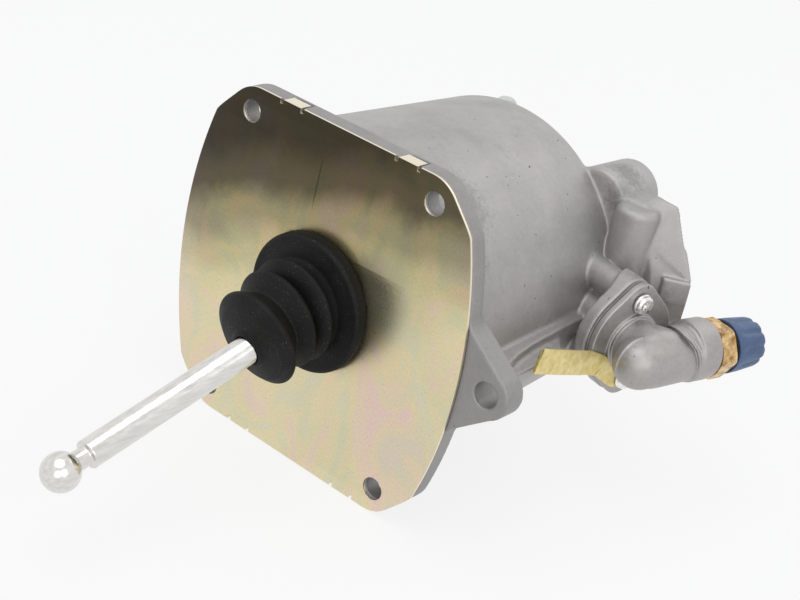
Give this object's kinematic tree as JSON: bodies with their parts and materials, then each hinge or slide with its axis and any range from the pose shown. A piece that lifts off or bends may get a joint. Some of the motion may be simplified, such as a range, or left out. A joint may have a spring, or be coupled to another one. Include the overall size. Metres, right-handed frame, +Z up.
{
  "type": "clutch servo",
  "caption": "Air-over-hydraulic clutch servo: a cast cylinder with a square steel cover, a rubber boot, a sprung piston with ball-ended pushrod, a control valve block and an elbow air port.",
  "frame": {"origin": "centre of the cover plate's front face, on the cylinder's axis", "axes": "+X out of the cover plate towards the pushrod's ball, +Z up along the plate's taller side, +Y towards the elbow"},
  "size_m": [0.2705, 0.1801, 0.1284],
  "materials": {
    "cast_aluminium": "fine sand-cast grain, bare",
    "passivated_steel": "yellow passivated zinc, half gloss",
    "black_rubber": "matte, dusty",
    "bright_zinc": "bright zinc plate",
    "die_cast_alloy": "smooth die cast, tumbled",
    "brass": "turned",
    "blue_plastic": "soft moulded",
    "yellow_tag": "thin rolled strip",
    "gasket_sheet": "fibre sheet",
    "machined_aluminium": "turned",
    "white_polymer": "machined",
    "ground_steel": "ground",
    "spring_steel": "oiled",
    "pale_rubber": "matte",
    "red_plastic": "soft moulded"
  },
  "bodies": {
    "housing": {"housing": "cast_aluminium", "cover_plate": "passivated_steel", "dust_boot": "black_rubber", "preload_spring": "spring_steel", "plunger_guide": "white_polymer", "guide_circlip": "spring_steel", "elbow": "die_cast_alloy", "elbow_gasket": "gasket_sheet", "elbow_screw_upper": "bright_zinc", "elbow_screw_lower": "bright_zinc", "port_union": "brass", "union_seal": "black_rubber", "port_cap": "blue_plastic", "id_tag": "yellow_tag", "valve_seat": "brass", "valve_cover": "machined_aluminium", "valve_circlip": "spring_steel", "exhaust_flap": "black_rubber", "valve_return_spring": "spring_steel", "inlet_spring": "spring_steel", "bleed_screw": "bright_zinc", "bleed_cap": "pale_rubber", "fluid_port_plug": "red_plastic"},
    "piston": {"piston": "machined_aluminium", "piston_seal": "black_rubber", "guide_ring": "white_polymer", "seat_retainer": "spring_steel", "plunger": "ground_steel", "plunger_seal": "black_rubber"},
    "rod_seat": {"seat_liner": "white_polymer"},
    "pushrod": {"pushrod": "bright_zinc"},
    "control_valve": {"valve_piston": "machined_aluminium", "valve_piston_seal": "black_rubber", "inlet_valve": "black_rubber"}
  },
  "joints": [
    {"name": "stroke", "type": "slide", "parent": "housing", "child": "piston", "axis": [1, 0, 0], "range_m": [-0.028, 0], "stiffness_N_per_m": 600, "springref_m": 0.04, "deforming": ["preload_spring", "dust_boot"]},
    {"name": "rod_swing", "type": "hinge", "parent": "piston", "child": "rod_seat", "pos_m": [-0.011, 0, 0], "axis": [0, 0, 1], "range_deg": [-10, 10], "deforming": ["dust_boot"]},
    {"name": "rod_tilt", "type": "hinge", "parent": "rod_seat", "child": "pushrod", "pos_m": [-0.011, 0, 0], "axis": [0, 1, 0], "range_deg": [-30, 0], "deforming": ["dust_boot"]},
    {"name": "valve_slide", "type": "slide", "parent": "housing", "child": "control_valve", "axis": [-1, 0, 0], "range_m": [0, 0.002], "stiffness_N_per_m": 800, "springref_m": -0.004, "deforming": ["valve_return_spring", "inlet_spring"]}
  ]
}
